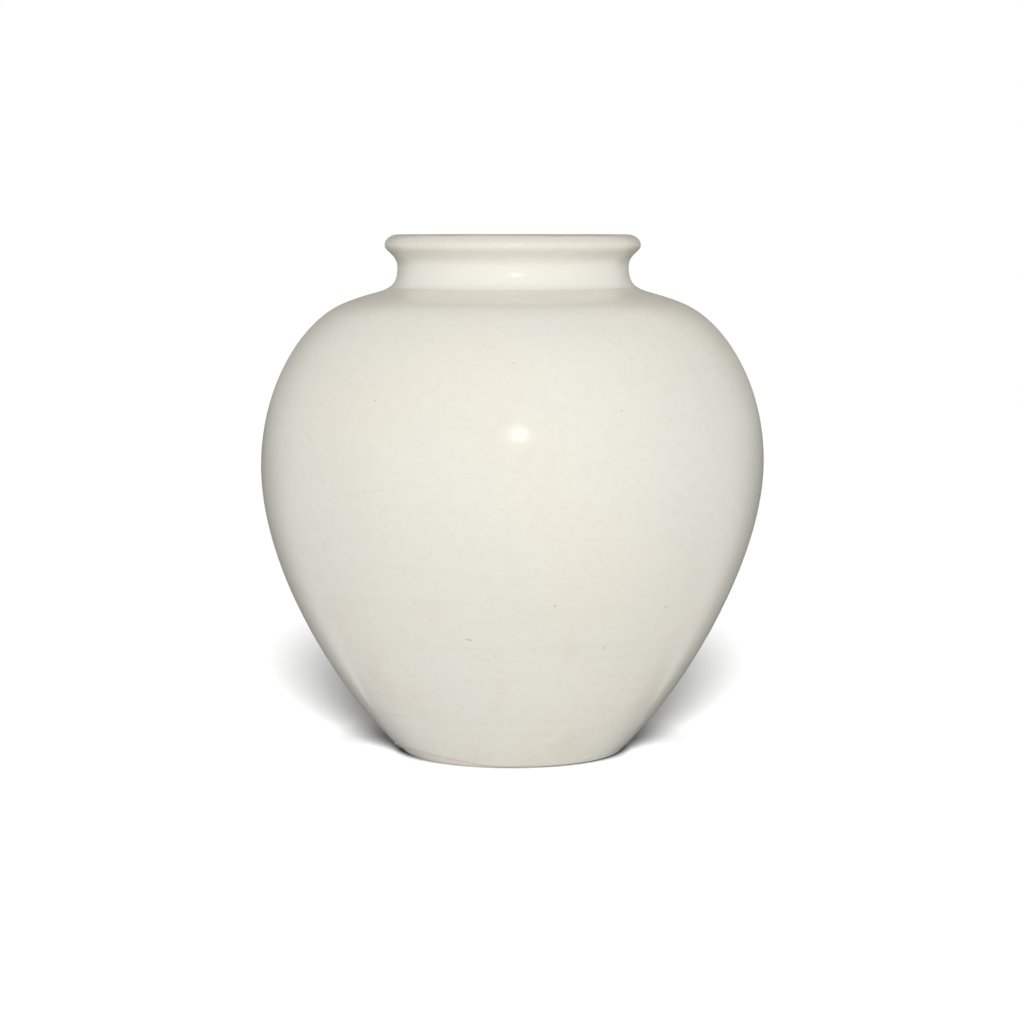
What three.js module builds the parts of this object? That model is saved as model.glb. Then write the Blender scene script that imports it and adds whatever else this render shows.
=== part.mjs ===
// Ovoid jar in glazed stoneware, about 300 mm tall and 291 mm across.
// It is thrown in three sections, which are luted together with slip while the clay is leather-hard:
// a lower body with its floor and foot, a shoulder dome, and a neck with a rolled lip. One coat of
// glaze covers the outside and the lip, down to a line just above the foot, and another lines the inside.
// Millimetres, +Z up, with the origin at the centre of the foot, on the table.

import * as THREE from 'three';

// Outside of the glazed jar
const HEIGHT = 300;
const FOOT_RADIUS = 63;
const FOOT_FLARE = 42.6;          // degrees between the table and the wall that leaves the foot
const BELLY_RADIUS = 145.4;
const BELLY_HEIGHT = 168;
const THROAT_RADIUS = 66.7;       // narrowest place of the neck
const NECK_ROOT_WIDTH = 32.3;     // from the throat out to where the shoulder begins
const NECK_ROOT_RISE = 21.3;      // from where the shoulder begins up to the throat
const SHOULDER_FALL = 24;         // degrees below level where the neck's root meets the shoulder
const LIP_OVERHANG = 7.1;         // from the throat out to the edge of the lip
const LIP_UNDERCUT = 12.6;        // from the throat up to the edge of the lip
const LIP_CROWN = 6.1;            // from the edge of the lip up to its top
const LIP_CROWN_SHARE = 0.56;     // how far across the lip, from its outer edge, the top lies

// Fullness of the curves: how far each end holds its direction, as a share of the curve's span
const FOOT_PULL = 0.275;
const BELLY_PULL_BELOW = 0.313;
const BELLY_PULL_ABOVE = 0.434;
const SHOULDER_PULL = 0.253;
const NECK_ROOT_PULL = 0.6;
const THROAT_PULL_BELOW = 0.44;
const THROAT_PULL_ABOVE = 0.515;
const LIP_PULL = 0.278;

// Clay, measured square to the wall
const FOOT_WALL = 10;
const BELLY_WALL = 6.5;
const SHOULDER_WALL = 6;
const THROAT_WALL = 5.5;
const FLOOR_HEIGHT = 10;          // table to the top of the clay floor
const COVE_HEIGHT = 12;           // rise of the rounded corner between the floor and the wall
const FOOT_RING_WIDTH = 12;       // flat ring that the jar stands on
const FOOT_BEVEL = 1;
const RECESS_DEPTH = 1.5;         // the base inside the ring is scraped hollow
const RECESS_SLOPE_WIDTH = 3;

// Glaze and the luted joints
const GLAZE = 0.6;
const GLAZE_LINE = 4;             // height of the glaze's lower edge above the table
const BOND = 0.05;                // hairline between layers that the firing has fused
const SLIP = 1;                   // thickness of the slip in a joint
const BELLY_KEY = 2.5;            // depth of the groove in the lower rim of the belly's joint
const NECK_KEY = 1.5;
const NECK_JOINT = 0.5;           // where the neck's joint shows outside, as a share of the neck's root
const NECK_JOINT_BEVEL = 0.1;     // how much further along the root it ends on the inside

// Facets
const SEGMENTS = 40;
const LOWER_STEPS = 7;
const SHOULDER_STEPS = 7;
const UNDERCUT_STEPS = 3;
const LIP_OUTER_STEPS = 3;
const LIP_INNER_STEPS = 2;
const COVE_STEPS = 3;

const UP = 90;
const SKIN = GLAZE + BOND;        // from the glazed surface down to the clay

// Outline curves of the glazed surface, in (radius, height), from the foot up and over the lip

function direction(degrees) {
  const angle = THREE.MathUtils.degToRad(degrees);
  return new THREE.Vector2(Math.cos(angle), Math.sin(angle));
}

// A smooth curve between two points. Angles are its directions there, from 0, outwards, to 90, up.
function sweep(start, startAngle, startPull, end, endAngle, endPull) {
  const span = start.distanceTo(end);
  const leaving = start.clone().addScaledVector(direction(startAngle), span * startPull);
  const arriving = end.clone().addScaledVector(direction(endAngle), -span * endPull);
  return new THREE.CubicBezierCurve(start, leaving, arriving, end);
}

const lipHeight = HEIGHT - LIP_CROWN;
const throatHeight = lipHeight - LIP_UNDERCUT;
const lipRadius = THROAT_RADIUS + LIP_OVERHANG;
const mouthRadius = THROAT_RADIUS - THROAT_WALL - 2 * SKIN;
const crownRadius = THREE.MathUtils.lerp(lipRadius, mouthRadius, LIP_CROWN_SHARE);
const shoulderFallAngle = 180 - SHOULDER_FALL;

const foot = new THREE.Vector2(FOOT_RADIUS, 0);
const belly = new THREE.Vector2(BELLY_RADIUS, BELLY_HEIGHT);
const shoulder = new THREE.Vector2(THROAT_RADIUS + NECK_ROOT_WIDTH, throatHeight - NECK_ROOT_RISE);
const throat = new THREE.Vector2(THROAT_RADIUS, throatHeight);
const lip = new THREE.Vector2(lipRadius, lipHeight);

const lowerCurve = sweep(foot, FOOT_FLARE, FOOT_PULL, belly, UP, BELLY_PULL_BELOW);
const shoulderCurve = sweep(belly, UP, BELLY_PULL_ABOVE, shoulder, shoulderFallAngle, SHOULDER_PULL);
const neckRootCurve = sweep(shoulder, shoulderFallAngle, NECK_ROOT_PULL, throat, UP, THROAT_PULL_BELOW);
const undercutCurve = sweep(throat, UP, THROAT_PULL_ABOVE, lip, UP, LIP_PULL);
const lipOuterCurve = lipQuarter(lipRadius - crownRadius, 0, Math.PI / 2);
const lipInnerCurve = lipQuarter(crownRadius - mouthRadius, Math.PI / 2, Math.PI);

function lipQuarter(halfWidth, startAngle, endAngle) {
  return new THREE.EllipseCurve(crownRadius, lipHeight, halfWidth, LIP_CROWN, startAngle, endAngle);
}

// Stations along the outline: a point of the glazed surface, the way into the wall, and the clay's
// thickness there. Every layer of the jar is made of the same stations at its own depth.

function stationAt(curve, t, wallAtStart, wallAtEnd) {
  const along = curve.getTangent(t);
  return {
    point: curve.getPoint(t),
    inward: new THREE.Vector2(-along.y, along.x),
    wall: THREE.MathUtils.lerp(wallAtStart, wallAtEnd, t),
  };
}

function stationsAlong(curve, shares, wallAtStart, wallAtEnd) {
  return shares.map((t) => stationAt(curve, t, wallAtStart, wallAtEnd));
}

// Equal steps along a curve, from a first share of it to its end
function evenShares(steps, first = 0) {
  return Array.from({ length: steps + 1 }, (_, step) => THREE.MathUtils.lerp(first, 1, step / steps));
}

// Finds how far along a rising curve a height is reached, by halving the stretch that holds it
function parameterAtHeight(curve, height) {
  let low = 0;
  let high = 1;
  for (let pass = 0; pass < 40; pass++) {
    const middle = (low + high) / 2;
    if (curve.getPoint(middle).y < height) low = middle;
    else high = middle;
  }
  return low;
}

const glazeStart = parameterAtHeight(lowerCurve, GLAZE_LINE);
const lowerShares = evenShares(LOWER_STEPS, glazeStart);
const shoulderShares = evenShares(SHOULDER_STEPS);
const neckJointEnd = NECK_JOINT + NECK_JOINT_BEVEL;
const neckRootShares = [0, NECK_JOINT / 2, NECK_JOINT, neckJointEnd, (neckJointEnd + 1) / 2, 1];

const lowerStations = stationsAlong(lowerCurve, lowerShares, FOOT_WALL, BELLY_WALL);
const shoulderStations = stationsAlong(shoulderCurve, shoulderShares, BELLY_WALL, SHOULDER_WALL);
const neckRootStations = stationsAlong(neckRootCurve, neckRootShares, SHOULDER_WALL, THROAT_WALL);
const footStation = stationAt(lowerCurve, 0, FOOT_WALL, BELLY_WALL);

// The foot's glaze line to the throat, and the throat over the lip to the mouth
const wallStations = [
  ...lowerStations,
  ...shoulderStations.slice(1),
  ...neckRootStations.slice(1),
];
const lipStations = [
  ...stationsAlong(undercutCurve, evenShares(UNDERCUT_STEPS)).slice(1),
  ...stationsAlong(lipOuterCurve, evenShares(LIP_OUTER_STEPS)).slice(1),
  ...stationsAlong(lipInnerCurve, evenShares(LIP_INNER_STEPS)).slice(1),
];

const depthOfGlazeBack = () => GLAZE;
const depthOfClay = () => SKIN;
const depthOfClayInside = (station) => SKIN + station.wall;
const depthOfLiningBack = (station) => depthOfClayInside(station) + BOND;
const depthOfLiningFace = (station) => depthOfLiningBack(station) + GLAZE;

function layer(stations, depthOf) {
  return stations.map((station) => (
    station.point.clone().addScaledVector(station.inward, depthOf(station))));
}

const glazeFace = [...wallStations, ...lipStations].map((station) => station.point);
const glazeBack = layer([...wallStations, ...lipStations], depthOfGlazeBack);
const clayOutside = layer(wallStations, depthOfClay);
const clayInside = layer(wallStations, depthOfClayInside);
const clayLip = layer(lipStations, depthOfClay);

// The floor turns up into the wall in a cove, which ends at the first station above its height
const coveEnd = clayInside.findIndex((point) => point.y > FLOOR_HEIGHT + COVE_HEIGHT);

function floorAndCove(wallPoints, floorHeight) {
  const start = wallPoints[coveEnd];
  const slope = wallPoints[coveEnd + 1].clone().sub(start);
  const run = (start.y - floorHeight) * slope.x / slope.y;
  const corner = new THREE.Vector2(start.x - run, floorHeight);
  const floorEdge = new THREE.Vector2(corner.x - corner.distanceTo(start), floorHeight);
  const cove = new THREE.QuadraticBezierCurve(floorEdge, corner, start);
  return [new THREE.Vector2(0, floorHeight), ...cove.getPoints(COVE_STEPS)];
}

// Luted joints. The lower rim has a groove, the upper rim an edge that sits in it, and slip fills the
// space between. A joint runs from one station on the outside to one on the inside.

function lutedJoint(outerStation, innerStation, keyDepth) {
  const outer = clayOutside[outerStation];
  const inner = clayInside[innerStation];
  const across = inner.clone().sub(outer).normalize();
  const down = new THREE.Vector2(-across.y, across.x);
  const key = outer.clone().lerp(inner, 0.5).addScaledVector(down, keyDepth);

  // A point on the wall's face, next to the joint and clear of its middle
  function beside(face, station, side, clearance) {
    const way = face[station + side].clone().sub(face[station]).normalize();
    return face[station].clone().addScaledVector(way, clearance / Math.abs(way.dot(down)));
  }

  function rim(side, clearance) {
    return [
      beside(clayOutside, outerStation, side, clearance),
      key.clone().addScaledVector(down, -side * clearance),
      beside(clayInside, innerStation, side, clearance),
    ];
  }

  const slipAbove = rim(1, SLIP / 2).reverse();
  const slipBelow = rim(-1, SLIP / 2);
  return {
    lowerRim: rim(-1, SLIP / 2 + BOND),
    upperRim: rim(1, SLIP / 2 + BOND),
    slip: [...slipBelow, inner, ...slipAbove, outer],
  };
}

const bellyJoint = LOWER_STEPS;
const neckJointOutside = LOWER_STEPS + SHOULDER_STEPS + neckRootShares.indexOf(NECK_JOINT);
const neckJointInside = neckJointOutside + 1;
const bellyLuting = lutedJoint(bellyJoint, bellyJoint, BELLY_KEY);
const neckLuting = lutedJoint(neckJointOutside, neckJointInside, NECK_KEY);

// Outlines of the pieces, each a closed loop in (radius, height)

function lowerBodyOutline() {
  const footWall = layer([footStation], depthOfClay)[0];
  const ringOuter = footWall.x - FOOT_BEVEL;
  const ringInner = ringOuter - FOOT_RING_WIDTH;
  const recessRadius = ringInner - RECESS_SLOPE_WIDTH;
  return [
    new THREE.Vector2(0, RECESS_DEPTH),
    new THREE.Vector2(recessRadius, RECESS_DEPTH),
    new THREE.Vector2(ringInner, 0),
    new THREE.Vector2(ringOuter, 0),
    footWall,
    ...clayOutside.slice(0, bellyJoint),
    ...bellyLuting.lowerRim,
    ...clayInside.slice(coveEnd + 1, bellyJoint).reverse(),
    ...floorAndCove(clayInside, FLOOR_HEIGHT).reverse(),
  ];
}

function shoulderDomeOutline() {
  const [bellyOuter, bellyEdge, bellyInner] = bellyLuting.upperRim;
  return [
    bellyOuter,
    ...clayOutside.slice(bellyJoint + 1, neckJointOutside),
    ...neckLuting.lowerRim,
    ...clayInside.slice(bellyJoint + 1, neckJointInside).reverse(),
    bellyInner,
    bellyEdge,
  ];
}

function neckCollarOutline() {
  const [seatOuter, seatEdge, seatInner] = neckLuting.upperRim;
  return [
    seatOuter,
    ...clayOutside.slice(neckJointOutside + 1),
    ...clayLip,
    ...clayInside.slice(neckJointInside + 1).reverse(),
    seatInner,
    seatEdge,
  ];
}

function outerGlazeOutline() {
  return [...glazeFace, ...glazeBack.slice().reverse()];
}

// One face of the lining, from the middle of the floor up to the lip, where the outer coat begins
function liningPath(depthOf, floorHeight) {
  const wall = layer(wallStations, depthOf);
  const top = new THREE.Vector2(wall[wall.length - 1].x, lipHeight - BOND);
  return [...floorAndCove(wall, floorHeight), ...wall.slice(coveEnd + 1), top];
}

function innerGlazeOutline() {
  const back = liningPath(depthOfLiningBack, FLOOR_HEIGHT + BOND);
  const face = liningPath(depthOfLiningFace, FLOOR_HEIGHT + BOND + GLAZE);
  return [...back, ...face.reverse()];
}

// Turns an outline into a solid of revolution. Loops that stay off the axis are closed on themselves.
function thrown(name, outline, finish) {
  const startsOnAxis = outline[0].x === 0;
  const profile = startsOnAxis ? outline : [...outline, outline[0]];
  if (THREE.ShapeUtils.area(profile) < 0) profile.reverse();
  const geometry = new THREE.LatheGeometry(profile, SEGMENTS);
  geometry.rotateX(Math.PI / 2);
  const mesh = new THREE.Mesh(geometry, new THREE.MeshStandardMaterial(finish));
  mesh.name = name;
  return mesh;
}

const FIRED_CLAY = { color: 0xd9cbb6, roughness: 0.9, metalness: 0 };
const FIRED_SLIP = { color: 0xcfc0aa, roughness: 0.95, metalness: 0 };
const IVORY_GLAZE = { color: 0xecebdf, roughness: 0.16, metalness: 0 };

const jar = new THREE.Group();
jar.add(
  thrown('lower_body', lowerBodyOutline(), FIRED_CLAY),
  thrown('belly_slip', bellyLuting.slip, FIRED_SLIP),
  thrown('shoulder_dome', shoulderDomeOutline(), FIRED_CLAY),
  thrown('neck_slip', neckLuting.slip, FIRED_SLIP),
  thrown('neck_collar', neckCollarOutline(), FIRED_CLAY),
  thrown('outer_glaze', outerGlazeOutline(), IVORY_GLAZE),
  thrown('inner_glaze', innerGlazeOutline(), IVORY_GLAZE),
);

export default jar;
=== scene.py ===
# %% [markdown]
# # An ivory glazed jar, from the wheel to the studio
# The jar is built the way a potter would build it in stoneware: thrown in three sections, luted together
# with slip, and dipped in one pale glaze. Its measured model is loaded first and stays where it is. What
# shows is then made around it: the camera and the light, the turned walls, the coats of glaze, the specks
# of iron and the grit at the foot.

# %% Load the measured model
import math
import bpy
import bmesh
import numpy as np
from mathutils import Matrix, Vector


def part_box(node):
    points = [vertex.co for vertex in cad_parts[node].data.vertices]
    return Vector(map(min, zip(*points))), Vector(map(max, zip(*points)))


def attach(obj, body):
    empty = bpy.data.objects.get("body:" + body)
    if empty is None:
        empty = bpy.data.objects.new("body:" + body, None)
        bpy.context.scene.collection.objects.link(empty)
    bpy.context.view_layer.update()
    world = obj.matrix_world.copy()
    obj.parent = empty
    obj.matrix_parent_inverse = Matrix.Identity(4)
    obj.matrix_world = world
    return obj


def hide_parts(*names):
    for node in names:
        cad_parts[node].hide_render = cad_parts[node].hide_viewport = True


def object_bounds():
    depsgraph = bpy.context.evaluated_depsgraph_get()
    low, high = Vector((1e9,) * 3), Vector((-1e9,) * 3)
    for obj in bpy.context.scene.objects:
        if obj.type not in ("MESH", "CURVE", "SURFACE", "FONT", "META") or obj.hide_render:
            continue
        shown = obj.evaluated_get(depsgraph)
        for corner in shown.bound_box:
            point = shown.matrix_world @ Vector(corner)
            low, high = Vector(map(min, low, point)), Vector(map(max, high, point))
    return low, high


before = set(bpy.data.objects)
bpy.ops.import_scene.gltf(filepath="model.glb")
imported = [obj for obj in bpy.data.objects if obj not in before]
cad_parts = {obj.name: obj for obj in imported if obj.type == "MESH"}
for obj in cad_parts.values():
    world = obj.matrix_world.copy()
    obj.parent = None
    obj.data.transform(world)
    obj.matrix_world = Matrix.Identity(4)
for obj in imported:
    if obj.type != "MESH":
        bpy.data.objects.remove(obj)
model_low, model_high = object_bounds()
print("measured model:", sorted(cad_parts), "height", round(model_high.z, 4), "m")

# %% [markdown]
# Everything in a scene is an object that holds some data: a mesh, a lamp or a camera. Two small helpers
# make them.

# %% Objects and meshes
def put(name, data):
    """A new object in the scene."""
    new = bpy.data.objects.new(name, data)
    bpy.context.scene.collection.objects.link(new)
    return new


def new_mesh(name, points, edges=(), faces=()):
    mesh = bpy.data.meshes.new(name)
    mesh.from_pydata(points, edges, faces)
    return mesh


# %% [markdown]
# ## The view
# A long lens far away keeps the jar's outline close to its real section, as in a catalogue picture. The
# camera stands a little above the lip and looks slightly down, so the rim shows as a thin ellipse. A
# camera looks along its own -Z, so a quarter turn about X, less the tilt, points it at the jar.

# %% Camera
CAMERA_DISTANCE = 1.722
CAMERA_HEIGHT = 0.3048
CAMERA_TILT = math.radians(5.491)
LENS_LENGTH = 104.59
SENSOR_WIDTH = 36

lens = bpy.data.cameras.new("studio_camera")
lens.lens = LENS_LENGTH
lens.sensor_width = SENSOR_WIDTH
camera = put("studio_camera", lens)
camera.location = (0, -CAMERA_DISTANCE, CAMERA_HEIGHT)
camera.rotation_euler = (math.pi / 2 - CAMERA_TILT, 0, 0)
bpy.context.scene.camera = camera
bpy.context.scene.view_settings.view_transform = "Standard"
print("camera", round(CAMERA_DISTANCE, 3), "m away, lens", LENS_LENGTH, "mm")

# %% [markdown]
# ## A helper for node trees
# Shaders and Geometry Nodes are both built from nodes and links. Written out one by one they are long and
# hard to read, so a small class adds a node, sets it and feeds its sockets in one call. A feed may be a
# number, a colour or another node's output. The same arithmetic nodes work in both kinds of tree, so the
# class has short names for the sums that come up again and again.

# %% Node bench
class Bench:
    """Adds nodes to one tree. Feeds go to sockets by order or by name."""

    def __init__(self, tree):
        self.tree = tree

    def add(self, kind, feeds=(), **settings):
        node = self.tree.nodes.new(kind)
        for name, value in settings.items():
            setattr(node, name, value)
        pairs = feeds.items() if isinstance(feeds, dict) else enumerate(feeds)
        for socket, feed in pairs:
            if isinstance(feed, bpy.types.NodeSocket):
                self.tree.links.new(feed, node.inputs[socket])
            elif feed is not None:
                node.inputs[socket].default_value = feed
        return node

    def out(self, kind, feeds=(), **settings):
        return self.add(kind, feeds, **settings).outputs[0]

    def math(self, operation, *feeds):
        return self.out("ShaderNodeMath", feeds, operation=operation)

    def plus(self, first, second):
        return self.math("ADD", first, second)

    def minus(self, first, second):
        return self.math("SUBTRACT", first, second)

    def times(self, product, *factors):
        for factor in factors:
            product = self.math("MULTIPLY", product, factor)
        return product

    def vector(self, operation, *feeds):
        return self.out("ShaderNodeVectorMath", feeds, operation=operation)

    def measure(self, operation, *feeds):
        return self.add("ShaderNodeVectorMath", feeds, operation=operation).outputs["Value"]

    def scaled(self, vector, scale):
        return self.out("ShaderNodeVectorMath", {0: vector, "Scale": scale}, operation="SCALE")

    def combine(self, x, y, z):
        return self.out("ShaderNodeCombineXYZ", (x, y, z))

    def separate(self, vector):
        return self.add("ShaderNodeSeparateXYZ", (vector,)).outputs

    def noise(self, vector, scale, detail=2.0, roughness=0.5):
        feeds = {"Vector": vector, "Scale": scale, "Detail": detail, "Roughness": roughness}
        return self.out("ShaderNodeTexNoise", feeds)

    def swing(self, vector, scale, width, detail=2.0, roughness=0.5):
        """A noise that goes up to half a width to either side of 0."""
        return self.times(self.minus(self.noise(vector, scale, detail, roughness), 0.5), width)

    def fade(self, value, start, end, low=0.0, high=1.0):
        """Goes smoothly from low to high while the value goes from start to end."""
        feeds = (value, start, end, low, high)
        return self.out("ShaderNodeMapRange", feeds, interpolation_type="SMOOTHSTEP")

    def blend(self, share, first, second):
        """The first colour at share 0 and the second at share 1."""
        feeds = {0: share, 6: first, 7: second}
        return self.add("ShaderNodeMix", feeds, data_type="RGBA").outputs[2]

    def between(self, share, first, second):
        return self.out("ShaderNodeMix", {0: share, 2: first, 3: second})

    def tint(self, colour, where, share, other):
        """Lays another colour over this one where a mask is 1, and up to a share."""
        return self.blend(self.times(where, share), colour, other)


def paint(red, green, blue):
    """A colour as it reads on a screen, from 0 to 255, turned into the light that shaders work with."""
    def light(level):
        share = level / 255
        return share / 12.92 if share <= 0.04045 else ((share + 0.055) / 1.055) ** 2.4
    return (light(red), light(green), light(blue), 1.0)


def new_material(name):
    material = bpy.data.materials.new(name)
    material.use_nodes = True
    material.node_tree.nodes.clear()
    return material, Bench(material.node_tree)


WHITE = paint(255, 255, 255)
print("white reads as", WHITE)

# %% [markdown]
# ## The studio
# The jar stands on a white sheet in a pale room. Even fill comes from all round, and one soft lamp a
# little above the camera models the form. The sheet burns out to white for the camera, but it is a plain
# floor for all other light, so the jar gets no extra light from it. Light Path tells the two apart, and
# it also gives the white background to reflections.

# %% Light Path switch
def seen_directly(bench):
    """1 for what the camera sees straight, mirrored or through glass, and 0 for light that fills shade."""
    path = bench.add("ShaderNodeLightPath").outputs
    mirrored = bench.math("MAXIMUM", path["Is Glossy Ray"], path["Is Transmission Ray"])
    return bench.math("MAXIMUM", path["Is Camera Ray"], mirrored)


# %% World
WORLD_FILL = 0.56
WORLD_TINT = (1.0, 0.995, 0.99, 1.0)

world = bpy.data.worlds.new("studio_air")
world.use_nodes = True
world.node_tree.nodes.clear()
bpy.context.scene.world = world
air = Bench(world.node_tree)
fill = air.out("ShaderNodeBackground", (WORLD_TINT, WORLD_FILL))
backdrop = air.out("ShaderNodeBackground", (WHITE, 1.0))
air.add("ShaderNodeOutputWorld", (air.out("ShaderNodeMixShader", (seen_directly(air), fill, backdrop)),))
print("fill light", WORLD_FILL)

# %% [markdown]
# The floor is a round sheet. Close to the jar it is a shaded surface, which catches the shadow. Further
# out it turns into an even white glow for the camera, so that no horizon line shows. A picture exposed
# for the jar burns the open paper out and keeps only the core of the shadow. A sun that is linked to the
# sheet alone does this: it throws the jar's shadow straight back and gives the jar no light. What the jar
# gets back from the sheet has a level of its own. Little light reaches under the flare of the foot, so
# the sheet is deeper in shade there: for the camera by Ambient Occlusion behind the foot and a thin dark
# line all round it, and for the light that it returns by the distance from the foot. A depth is measured
# from front to back and a reach from the jar's axis, both in metres.

# %% Floor
FLOOR_RADIUS = 8.0
FLOOR_WHITE = 0.30
FLOOR_SEEN = 0.54
CONTACT_REACH = 0.05
CONTACT_POWER = 0.6
CONTACT_DEPTHS = -0.01, 0.05
LINE_START = 0.0625
FRONT_LINE = 0.5
FRONT_LINE_END = 0.0675
SIDE_LINE = 0.3
SIDE_LINE_END = 0.071
SIDE_LINE_DEPTHS = -0.055, -0.02
FOOT_SHADE = 0.30
FOOT_SHADE_REACHES = 0.07, 0.20
FOOT_SHADE_DEPTHS = -0.06, -0.01
FLOOR_MIRRORED = 0.40
SHEET_SUN = 12.6
SHEET_SUN_TURN = 0.6
SHEET_SUN_RISE = 23
SHEET_SUN_WIDTH = 14
GLOW_REACHES = 0.55, 0.95
FLOOR_SIDES = 96

ring = [2 * math.pi * side / FLOOR_SIDES for side in range(FLOOR_SIDES)]
floor_points = [(FLOOR_RADIUS * math.cos(a), FLOOR_RADIUS * math.sin(a), 0) for a in ring]
floor = put("studio_floor", new_mesh("studio_floor", floor_points, faces=[range(FLOOR_SIDES)]))

paper, sheet = new_material("white_paper")
spot = sheet.add("ShaderNodeTexCoord").outputs["Object"]
direct = seen_directly(sheet)
by_camera = sheet.add("ShaderNodeLightPath").outputs["Is Camera Ray"]
depth = sheet.separate(spot)["Y"]
reach = sheet.measure("LENGTH", spot)
open_near = sheet.add("ShaderNodeAmbientOcclusion", {"Distance": CONTACT_REACH}, samples=8).outputs["AO"]
contact = sheet.between(sheet.fade(depth, *CONTACT_DEPTHS), 1.0,
                        sheet.math("POWER", open_near, CONTACT_POWER))
line = sheet.between(sheet.fade(depth, *SIDE_LINE_DEPTHS),
                     sheet.fade(reach, LINE_START, FRONT_LINE_END, FRONT_LINE, 1.0),
                     sheet.fade(reach, LINE_START, SIDE_LINE_END, SIDE_LINE, 1.0))
shown = sheet.times(contact, line, FLOOR_SEEN)
beside_foot = sheet.between(sheet.fade(depth, *FOOT_SHADE_DEPTHS), 1.0,
                            sheet.fade(reach, *FOOT_SHADE_REACHES, FOOT_SHADE, 1.0))
returned = sheet.times(sheet.between(direct, FLOOR_WHITE, FLOOR_MIRRORED), beside_foot)
shade = sheet.between(by_camera, returned, shown)
shaded = sheet.out("ShaderNodeBsdfDiffuse", (sheet.combine(shade, shade, shade),))
glow = sheet.out("ShaderNodeEmission", (WHITE, 1.0))
burnt = sheet.times(sheet.fade(reach, *GLOW_REACHES), direct)
sheet.add("ShaderNodeOutputMaterial", (sheet.out("ShaderNodeMixShader", (burnt, shaded, glow)),))
floor.data.materials.append(paper)

sheet_only = bpy.data.collections.new("sheet_only")
sheet_only.objects.link(floor)
sun = bpy.data.lights.new("sheet_sun", "SUN")
sun.energy = SHEET_SUN
sun.angle = math.radians(SHEET_SUN_WIDTH)
sun_holder = put("sheet_sun", sun)
sun_holder.rotation_euler = (math.radians(90 - SHEET_SUN_RISE), 0, math.radians(SHEET_SUN_TURN))
sun_holder.light_linking.receiver_collection = sheet_only
print("floor", 2 * FLOOR_RADIUS, "m across")

# %% [markdown]
# Lamps are placed by direction and distance from the middle of the jar, as a photographer thinks of them,
# and their strength is the brightness of their own surface: 1 is as bright as a white wall in full light.
# Blender asks for watts, which is that brightness times the surface and pi. The key lamp only lights.
# What the glaze mirrors as small bright spots is the photographer's umbrella, a second lamp that shows in
# reflections alone.

# %% Lamps
LAMP_DISTANCE = 2.0
jar_middle = (model_low + model_high) / 2


def lamp(name, azimuth, elevation, width, height, brightness, mirrored=True, lights=True):
    """An oval area lamp. It may be kept out of reflections, or only be there for them."""
    light = bpy.data.lights.new(name, "AREA")
    light.shape = "ELLIPSE"
    light.size = width
    light.size_y = height
    surface = width * height * (math.pi / 4)
    light.energy = brightness * surface * math.pi
    turn, rise = math.radians(azimuth), math.radians(elevation)
    away = Vector((math.sin(turn) * math.cos(rise), -math.cos(turn) * math.cos(rise), math.sin(rise)))
    holder = put(name, light)
    holder.location = jar_middle + away * LAMP_DISTANCE
    holder.rotation_euler = away.to_track_quat("Z", "Y").to_euler()
    holder.visible_camera = False
    holder.visible_glossy = mirrored
    holder.visible_diffuse = lights
    print(name, "at", [round(value, 2) for value in holder.location])


lamp("key_light", azimuth=1.0, elevation=18, width=0.42, height=0.42, brightness=37.4, mirrored=False)
lamp("mirrored_umbrella", azimuth=2.9, elevation=19.0, width=0.25, height=0.19, brightness=8.8, lights=False)

# %% [markdown]
# White on white needs a dark edge. Product photographers stand a dark card behind the object, out of the
# lamp's light: the glossy edge mirrors it, and the outline draws itself. This card is bowed round the
# back of the jar and lies on the floor as well. It is darkest low down and straight behind the jar, and
# fades to white at its sides and top, so that no edge of it shows. Only reflections see it, so it takes
# no light from anything.

# %% Dark card
CARD_DISTANCE = 1.6
CARD_SIDE = 88
CARD_TOP = 62
CARD_STEPS = 24
CARD_TINT = paint(250, 245, 236)
CARD_DARK = 0.36
CARD_DARK_LOW = 0.14
CARD_DARK_HEIGHTS = 0.03, 0.33
CARD_FADE_ANGLES = 34, 72
CARD_UPWARD = 1.15
CARD_NEAR = 0.066
CARD_MIDDLE = 0.10
CARD_LIFT = 0.001

dark_card, felt = new_material("dark_card")
card_x, card_y, card_z = felt.separate(felt.add("ShaderNodeTexCoord").outputs["Object"])
beside = felt.math("MAXIMUM", felt.minus(felt.math("ABSOLUTE", card_x), CARD_MIDDLE), 0.0)
aside = felt.math("DEGREES", felt.math("ARCTAN2", beside, card_y))
upward = felt.math("DEGREES", felt.math("ARCTAN2", card_z, CARD_DISTANCE))
off_middle = felt.measure("LENGTH", felt.combine(aside, felt.times(upward, CARD_UPWARD), 0))
darkest = felt.fade(card_z, *CARD_DARK_HEIGHTS, CARD_DARK_LOW, CARD_DARK)
to_white = felt.fade(off_middle, *CARD_FADE_ANGLES)
card_level = felt.between(to_white, darkest, 1.0)
felt_glow = felt.out("ShaderNodeEmission", (felt.blend(to_white, CARD_TINT, WHITE), card_level))
felt.add("ShaderNodeOutputMaterial", (felt_glow,))

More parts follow.
